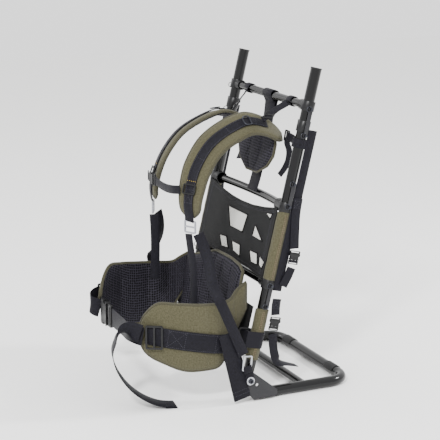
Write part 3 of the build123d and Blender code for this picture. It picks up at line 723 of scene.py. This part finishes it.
hanger = {"route": ((6, 414), (9, 455), (8, 520), (8, 580), (2, 634)), "width": 50}
strip = layStrip([onRails(0, n, s) for n, s in hanger["route"]], (1, 0, 0), hanger["width"])
barLoop = layStrip([onRails(0, n, s) for n, s in ((6, 600), (2, 628), (-6, 640), (-11.6, 648), (-9, 657), (0, 660.4),
                                                  (9, 657), (11.6, 648), (10.4, 630), (10, 600))], (1, 0, 0), 46, 1.5)
ready(stripPiece("harnessHanger", [strip, barLoop]), ["harness_hanger"])
for faceSide in (1, -1):
    boxCross(strip, 0.150, 0.185, faceSide)

lifters = {
    "width": 20, "barLoop": 11.4, "railLoop": 16.6,
    "route": ((82, 88, 640), (88, 104, 652), (95, 117, 664), (102, 129, 673), (110, 139.5, 681.5)),
    "rear": ((118, 134, 604), (134, 135, 603), (150, 134, 602), (166, 131, 601)),
    "tail": ((121, 134, 600), (121, 133, 588), (124, 137, 571), (122, 136, 547), (116, 129, 527), (111, 119, 511)),
}
strips = []
for sign in sides.values():
    for part, across in (("route", (1, sign * 0.5, 0)), ("rear", (0, 0.2, 1)), ("tail", (1, 0.3, 0.2))):
        strips.append(layStrip(route(lifters[part], sign), across, lifters["width"]))
    r = lifters["barLoop"]
    loop = [onRails(sign * 112, r * math.cos(a), 648 + r * math.sin(a)) for a in np.linspace(-2.6, 3.3, 12)]
    strips.append(layStrip(loop, (1, 0, 0), 22, 1.5, 3.0))
    r = lifters["railLoop"]
    railLoop = [onRails(sign * railX + r * math.cos(a) * sign, r * math.sin(a), 561)
                for a in np.linspace(0, 2 * math.pi, 15)]
    strips.append(layStrip(railLoop, tuple(up), 21, 1.5, 3.0))
ready(stripPiece("liftersAndStabilisers", strips), ["upper_webbing"])

sternum = {"right": ((-96, -127, 496), (-84, -133, 495), (-72, -134, 493)),
           "left": ((-32, -134, 493), (0, -136, 490), (40, -137, 490), (74, -135, 493), (96, -127, 496)),
           "width": 20, "release": 16.0}
levelRun("sternumWebbingRight", sternum["right"], sternum["width"], "sternum_webbing_right")
piece = levelRun("sternumWebbingLeft", sternum["left"], sternum["width"], "sternum_webbing_left")
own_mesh(piece)

# ---- webbing from the straps' lower ends to the foot of the frame ----
lowerRun = {
    "adjuster": ((106, -110, 393), (109, -107, 362), (114, -104, 326), (118, -103, 280), (121, -104, 226)),
    "lower": ((122, -93, 395), (132, -83, 364), (147, -78, 330), (170, -81, 294), (199, -83, 272), (211, -74, 246),
              (212.5, -52, 196), (212.5, -31, 148), (211.8, -19, 121)),
    "foot": ((-58, 176), (-45, 120), (-32, 66), (-19, 12)), "footX": 206.4,
    "tab": ((0, 2, 46), (0, 0, 56), (0, -4, 74), (0.4, -8, 86), (3.2, -10, 92), (4.6, -10, 88), (4.2, -7, 76)),
    "tabX": 208.6,
}
adjusters, lowers, feet = [], [], []
for sign in sides.values():
    adjusters.append(layStrip(route(lowerRun["adjuster"], sign), (0.9, 0.4, 0) if sign > 0 else (0.45, 0.9, 0), 22))
    lowers.append(layStrip(route(lowerRun["lower"], sign), [(sign * 0.35, 1, 0.4)] * 5 + [(0, 1, 0.4)] * 4, 25))
    strip = layStrip([at(sign * lowerRun["footX"], y, z) for y, z in lowerRun["foot"]], (0, 1, 0.25), 43, 2.0)
    feet.append(strip)
    end = strip["along"][-1]
    for d in (0.012, 0.022):
        for faceSide in (1, -1):
            stitchAcross(strip, end - d, 0.019, faceSide * 0.0012)
ready(stripPiece("adjusterTails", adjusters), ["adjuster_tails"])
ready(stripPiece("lowerWebbing", lowers), ["lower_webbing"])

for sign in sides.values():  # tab from the pivot bolt up through the steel ring
    face = lowerRun["tabX"] * sign
    feet.append(layStrip([at(face + x * sign, y, z) for x, y, z in lowerRun["tab"]], (0, 1, 0.2), 21, 1.5, 3.0))
ready(stripPiece("footStraps", feet), ["foot_webbing"])

# ---- load side: lash webbing ----
lash = {
    "inner": 204.6, "outer": 208.4, "width": 22,
    "runs": (("inner", ((18, 596), (18, 420), (18, 218))), ("outer", ((18, 438), (21, 400), (31, 348), (37, 322))),
             ("outer", ((21, 200), (22, 184), (26, 162)))),
    "tail": ((0.4, 30, 116), (-2, 38, 92), (-6, 52, 64), (-14, 68, 49), (-22, 95, 44), (-27, 126, 41)),
}
strips, tails = [], []
for sign in sides.values():
    for layer, points in lash["runs"]:
        strip = layStrip([onRails(sign * lash[layer], n, s) for n, s in points], tuple(back), lash["width"])
        strips.append(strip)
        if layer == "outer":
            boxCross(strip, 0.006, 0.022, outerSide(strip, 0.01, Vector((sign, 0, 0))))
    ways = [tuple(back)] * 3 + [(-sign * 0.5, 0.85, 0), (-sign * 0.9, 0.4, 0), (-sign, 0, 0)]
    tails.append(layStrip([onRails(sign * (lash["outer"] + x), n, s) for x, n, s in lash["tail"]], ways, 21))
ready(stripPiece("lashWebbing", strips), ["lash_webbing"])
piece = stripPiece("lashTailsLow", tails)
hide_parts("lash_tails_lower")
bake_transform(piece)
print("webbing laid")

# ---- back panel, lumbar band and sleeves ----
panel = {
    "step": 3.0, "halfWidth": 186.0, "depth": -16.2, "belly": 2.2, "stitchLift": 0.7,
    "top": ((-189, 404), (-169, 402), (-120, 393), (-60, 386), (0, 384), (60, 386), (120, 393), (169, 402),
            (189, 404)),
    "bottom": ((-189, 237), (-168, 240), (-110, 245), (0, 246), (110, 245), (168, 240), (189, 237)),
    "windows": (
        ((-62, 360), (46, 360), (38, 315), (-32, 315)), ((94, 347), (146, 317), (90, 318)),
        ((-78, 284), (-39, 288), (-15, 263), (-54, 259)), ((-6, 285), (40, 285), (52, 258), (10, 263)),
        ((92, 285), (134, 286), (146, 261), (112, 260)), ((147, 285), (178, 276), (172, 258), (155, 263)),
        ((128, 384), (166, 388), (160, 374)),
    ),
}


def insidePolygon(x, s, polygon):
    hit = False
    for (x0, s0), (x1, s1) in zip(polygon, polygon[1:] + polygon[:1]):
        if (s0 > s) != (s1 > s) and x < x0 + (x1 - x0) * (s - s0) / (s1 - s0):
            hit = not hit
    return hit


def panelDepth(x, s):  # it bellies back a little and hugs the rails at its edges
    side = abs(x) / railX
    belly = panel["belly"] * (1 - side ** 4)
    pucker = 0.5 * math.sin(x / 11 + s / 17) * math.sin(s / 23) * (1 - side)
    return panel["depth"] + belly + pucker


def onPanel(x, s):  # just proud of the panel's front face, where thread and tape lie
    return onRails(x, panelDepth(x, s) - panel["stitchLift"], s)


def clothGrid(name, low, high, halfWidth, step, depth, material, thickMm, windows=(), openMaterial=None):
    columns = int(2 * halfWidth / step) + 1
    rows = int((high(0) - low(0)) / step) + 1
    verts, faces, uvs, slots = [], [], [], []

    def spot(column, row, lineX=None):  # across and up the cloth, in mm
        x = -halfWidth + 2 * halfWidth * column / columns
        edgeX = x if lineX is None else lineX
        return x, low(edgeX) + (high(edgeX) - low(edgeX)) * row / rows

    for i in range(rows + 1):
        for j in range(columns + 1):
            x, s = spot(j, i)
            verts.append(onRails(x, depth(x, s), s))
    for i in range(rows):
        for j in range(columns):
            a, b = i * (columns + 1) + j, (i + 1) * (columns + 1) + j
            faces.append((a, a + 1, b + 1, b))
            x, s = spot(j + 0.5, i + 0.5)
            corners = [spot(v, w, x) for w, v in ((i, j), (i, j + 1), (i + 1, j + 1), (i + 1, j))]
            uvs.append(tuple((u * 0.001, v * 0.001) for u, v in corners))
            slots.append(1 if any(insidePolygon(x, s, w) for w in windows) else 0)
    piece = meshPiece(name, verts, faces, uvs, [material] + ([openMaterial] if openMaterial else []), slots)
    solid = piece.modifiers.new("thickness", "SOLIDIFY")
    solid.thickness, solid.offset = thickMm * 0.001, 0.0
    applyModifiers(piece)
    outward(piece)
    return piece


def curveThrough(points):
    return lambda x: float(np.interp(x, *zip(*points)))


panelTop, panelBottom = curveThrough(panel["top"]), curveThrough(panel["bottom"])
panelPiece = clothGrid("backPanel", panelBottom, panelTop, panel["halfWidth"], panel["step"], panelDepth, blackCloth,
                       1.0, panel["windows"], paleMesh)
trims = []
for window in panel["windows"]:  # tape round each window
    ring = []
    for (x0, s0), (x1, s1) in zip(window, window[1:] + window[:1]):
        for k in range(10):
            x, s = x0 + (x1 - x0) * k / 10, s0 + (s1 - s0) * k / 10
            ring.append(onPanel(x, s))
    trims.append(ring)
    stitch(ring[::3] + ring[:1])
tape = tubeAlong("windowTape", trims, 1.7, blackCloth, sideCount=6)
edges = [[onRails(x, panelDepth(x, curve(x)), curve(x))
          for x in np.linspace(-panel["halfWidth"], panel["halfWidth"], 90)] for curve in (panelTop, panelBottom)]
piping = tubeAlong("panelPiping", edges, 2.0, blackCloth, closed=False, sideCount=8)
for curve, shift in ((panelTop, -6), (panelTop, -9), (panelBottom, 6)):
    stitch([onRails(x, panelDepth(x, curve(x)) - panel["stitchLift"], curve(x) + shift)
            for x in np.linspace(-170, 170, 80)])
for sign in sides.values():  # seams beside the rails
    for x in (166, 170):
        stitch([onRails(sign * x, panelDepth(x, s) - panel["stitchLift"], s) for s in np.linspace(246, 396, 34)])
ready(panelPiece, ["mesh_panel"])
ready(tape)
ready(piping)

lumbar = {"bottom": ((-189, 82), (-170, 84), (170, 84), (189, 82)), "top": ((-189, 168), (189, 168)),
          "halfWidth": 172.0, "depth": -15.4, "belly": 1.6}
lumbarPiece = clothGrid(
    "lumbarBand", curveThrough(lumbar["bottom"]), curveThrough(lumbar["top"]), lumbar["halfWidth"], 4.0,
    lambda x, s: lumbar["depth"] + lumbar["belly"] * (1 - (x / lumbar["halfWidth"]) ** 4), blackCloth, 1.2)
ready(lumbarPiece, ["lumbar_band"])

sleeve = {"spans": ((240.0, 398.0), (52.0, 168.0)), "radius": 15.4, "wall": 1.4, "around": 28, "slant": 7}
verts, faces, uvs = [], [], []
for low, high in sleeve["spans"]:
    for sign in sides.values():
        rows, around = int((high - low) / 4), sleeve["around"]
        for layer in (0, 1):
            start = len(verts)
            for i in range(rows + 1):
                s = low + (high - low) * i / rows
                for k in range(around):
                    turn = 2 * math.pi * k / around
                    wave = 0.35 * math.sin(s / 7 + 2 * math.sin(turn + s / 40)) * math.cos(turn * 2)
                    r = (sleeve["radius"] + wave) if layer == 0 else sleeve["radius"] - sleeve["wall"]
                    slant = sleeve["slant"] * math.cos(turn) * sign * (i / rows - 0.5)  # ends cut at a slant
                    verts.append(onRails(sign * railX + r * math.cos(turn), r * math.sin(turn), s + slant))
            if layer == 0:
                outer = start
            for i in range(rows):
                for k in range(around):
                    face = ringQuad(start, around, i, k)
                    faces.append(face if layer == 0 else face[::-1])
                    spot = [((k + a) * 0.0034, (i + b) * 0.004) for a, b in ((0, 0), (1, 0), (1, 1), (0, 1))]
                    uvs.append(tuple(spot if layer == 0 else spot[::-1]))
        for i in (0, rows):
            for k in range(around):
                j = (k + 1) % around
                faces.append((outer + i * around + k, start + i * around + k, start + i * around + j,
                              outer + i * around + j))
                uvs.append(((0, 0), (0.001, 0), (0.001, 0.001), (0, 0.001)))
        for turn in (-0.15, math.pi + 0.15) if low > 100 else (-0.3, math.pi + 0.3):
            for inset in (0.0, 0.22):
                angle = turn + (inset if turn < 0 else -inset)
                r = sleeve["radius"] + 0.5
                stitch([onRails(sign * railX + r * math.cos(angle), r * math.sin(angle), s)
                        for s in np.linspace(low + 5, high - 5, 40)], "brown")
piece = meshPiece("railSleeves", verts, faces, uvs, [oliveNylon])
outward(piece)
ready(piece, ["rail_sleeves"])
print("panel, band and sleeves made")

# ---- hard pieces: eased edges on the moulded, pressed and cast ones ----
easedNodes = {  # bevel in mm
    blackAcetal: {
        "crossbar_sockets": 1.2, "rail_end_caps": 0.4, "rail_collars": 0.9, "triglides": 0.9, "belt_rings": 1.0,
        "waist_buckle_female": 1.3, "waist_buckle_male": 0.9, "sternum_buckle_female": 0.8,
        "sternum_buckle_male": 0.5, "sternum_sliders": 0.7, "harness_buckles": 0.8, "lash_housings": 0.7},
    plateEnamel: {"lash_bars": 0.4, "gusset_plates": 0.6},
    greyAcetal: {"adjuster_buckles": 0.9},
    zincPlate: {"steel_rings": 0.9, "pivot_nuts": 0.4, "pivot_washers": 0.3},
    darkSteel: {"pivot_bolts": 0.5},
    padRubber: {"shelf_pads": 0.5},
}
plainNodes = {
    blackEnamel: ("rail_left", "rail_right", "top_crossbar", "middle_crossbar", "lower_crossbar", "shelf_tube",
                  "shelf_midbar"),
    darkSteel: ("clevis_pins", "split_rings", "d_ring_left", "d_ring_right"),
    blackWebbing: ("rail_loops", "lash_end_middle_left", "lash_end_middle_right"),
    blackAcetal: ("lash_end_lower_left", "lash_end_lower_right"),
}
bodyOf = {node: body for body, nodes in frame["record"]["behaviour"]["bodies"].items() for node in nodes}
for material, nodes in plainNodes.items():
    for node in nodes:
        for holder in frame["nodes"][node].material_slots:
            holder.link, holder.material = "OBJECT", material


def easedCopy(node, material, bevelMm):  # the node's own shape with its sharp edges rounded
    work = bmesh.new()
    work.from_mesh(frame["nodes"][node].data)
    bmesh.ops.remove_doubles(work, verts=work.verts, dist=2e-6)
    bmesh.ops.dissolve_limit(work, angle_limit=math.radians(0.6), verts=work.verts, edges=work.edges)
    mesh = bpy.data.meshes.new(node)
    work.to_mesh(mesh)
    work.free()
    name = "".join(part.title() for part in node.split("_"))
    piece = addObject(name[0].lower() + name[1:] + "Eased", mesh)
    mesh.materials.clear()
    mesh.materials.append(material)
    mesh.polygons.foreach_set("material_index", [0] * len(mesh.polygons))
    mesh.shade_smooth()
    bevel = piece.modifiers.new("easedEdges", "BEVEL")
    bevel.width, bevel.segments, bevel.limit_method = bevelMm * 0.001, 2, "ANGLE"
    bevel.angle_limit, bevel.harden_normals = math.radians(38), True
    applyModifiers(piece)
    return piece


for material, bevels in easedNodes.items():
    for node, bevelMm in bevels.items():
        ready(easedCopy(node, material, bevelMm), [node], bodyOf[node])
print("hard pieces eased")

# ---- thread: each stitched line becomes a row of short stitches ----
thread = {"length": 0.0030, "pitch": 0.0044, "radius": 0.00048}


def stitchTree():
    tree = bpy.data.node_groups.new("rowOfStitches", "GeometryNodeTree")
    tree.interface.new_socket("Geometry", in_out="INPUT", socket_type="NodeSocketGeometry")
    sockets = {}
    for label, kind in (*((f"Stitch {size}", "Float") for size in thread), ("Thread", "Material")):
        socket = tree.interface.new_socket(label, in_out="INPUT", socket_type=f"NodeSocket{kind}")
        sockets[label] = socket.identifier
    tree.interface.new_socket("Geometry", in_out="OUTPUT", socket_type="NodeSocketGeometry")
    given = addNode(tree, "NodeGroupInput").outputs
    run = addNode(tree, "GeometryNodeMeshToCurve", links={"Mesh": given["Geometry"]})
    spaced = addNode(tree, "GeometryNodeResampleCurve",
                     links={"Curve": run.outputs["Curve"], "Length": given["Stitch pitch"]}, mode="LENGTH")
    bead = addNode(tree, "GeometryNodeMeshIcoSphere", {"Radius": 1.0, "Subdivisions": 1})
    halfLength = addNode(tree, "ShaderNodeMath", {1: 0.5}, {0: given["Stitch length"]}, operation="MULTIPLY")
    shape = addNode(tree, "ShaderNodeCombineXYZ", links={
        "X": given["Stitch radius"], "Y": given["Stitch radius"], "Z": halfLength.outputs[0]})
    tangent = addNode(tree, "GeometryNodeInputTangent")
    turned = addNode(tree, "FunctionNodeAlignRotationToVector", links={"Vector": tangent.outputs[0]}, axis="Z")
    placed = addNode(tree, "GeometryNodeInstanceOnPoints", links={
        "Points": spaced.outputs[0], "Instance": bead.outputs["Mesh"], "Rotation": turned.outputs[0],
        "Scale": shape.outputs[0]})
    real = addNode(tree, "GeometryNodeRealizeInstances", links={"Geometry": placed.outputs[0]})
    dyed = addNode(tree, "GeometryNodeSetMaterial",
                   links={"Geometry": real.outputs[0], "Material": given["Thread"]})
    addNode(tree, "NodeGroupOutput", links={"Geometry": dyed.outputs[0]})
    return tree, sockets


tree, sockets = stitchTree()
for colour, lines in threadLines.items():
    verts, edges = [], []
    for line in lines:
        start = len(verts)
        verts += [tuple(p) for p in line]
        edges += [(start + i, start + i + 1) for i in range(len(line) - 1)]
    mesh = bpy.data.meshes.new(f"stitchLines{colour.title()}")
    mesh.from_pydata(verts, edges, [])
    piece = addObject(f"{colour}Stitching", mesh)
    sewing = piece.modifiers.new("sewing", "NODES")
    sewing.node_group = tree
    for label, size in thread.items():
        sewing[sockets[f"Stitch {label}"]] = size
    sewing[sockets["Thread"]] = threadColours[colour]
    applyModifiers(piece)
    if not piece.data.materials:
        piece.data.materials.append(threadColours[colour])
    piece.data.shade_smooth()
    ready(piece)
print("stitching sewn")

# ---- floor, light and camera ----
studio = {"floor": "#fbfbfa", "wall": "#fafafa", "eye": (3.0301, -1.3480, 1.2051), "turn": 65.51, "tilt": 13.77,
          "lens": 117.2, "brightness": 1.75}
floorMesh = bpy.data.meshes.new("floor")
floorMesh.from_pydata([(-6, -6, 0), (6, -6, 0), (6, 6, 0), (-6, 6, 0)], [], [(0, 1, 2, 3)])
floor = addObject("floor", floorMesh)
floorMesh.materials.append(newMaterial("paleStudioFloor", studio["floor"], 0.8)[0])
world = bpy.data.worlds.new("studio")
world.use_nodes = True
wall = world.node_tree.nodes["Background"].inputs
wall["Color"].default_value, wall["Strength"].default_value = tint(studio["wall"]), studio["brightness"]
bpy.context.scene.world = world


def softLight(name, spot, aim, size, watts):
    data = bpy.data.lights.new(name, "AREA")
    data.shape, data.size, data.energy = "DISK", size, watts
    lamp = addObject(name, data)
    lamp.location = spot
    lamp.rotation_euler = (Vector(aim) - Vector(spot)).to_track_quat("-Z", "Y").to_euler()


softLight("keyLight", (2.2, -2.0, 2.6), (0, 0, 0.35), 0.45, 140)
softLight("fillLight", (-2.4, -1.8, 1.8), (0, 0, 0.35), 1.4, 20)
softLight("rimLight", (0.8, 2.6, 2.2), (0, 0, 0.4), 0.45, 80)

turn, tilt = math.radians(studio["turn"]), math.radians(studio["tilt"])
view = Vector((-math.sin(turn) * math.cos(tilt), math.cos(turn) * math.cos(tilt), -math.sin(tilt)))
camera = addObject("camera", bpy.data.cameras.new("camera"))
camera.location = studio["eye"]
camera.rotation_euler = view.to_track_quat("-Z", "Y").to_euler()
camera.data.lens, camera.data.sensor_width = studio["lens"], 36.0
bpy.context.scene.camera = camera
print("studio set")
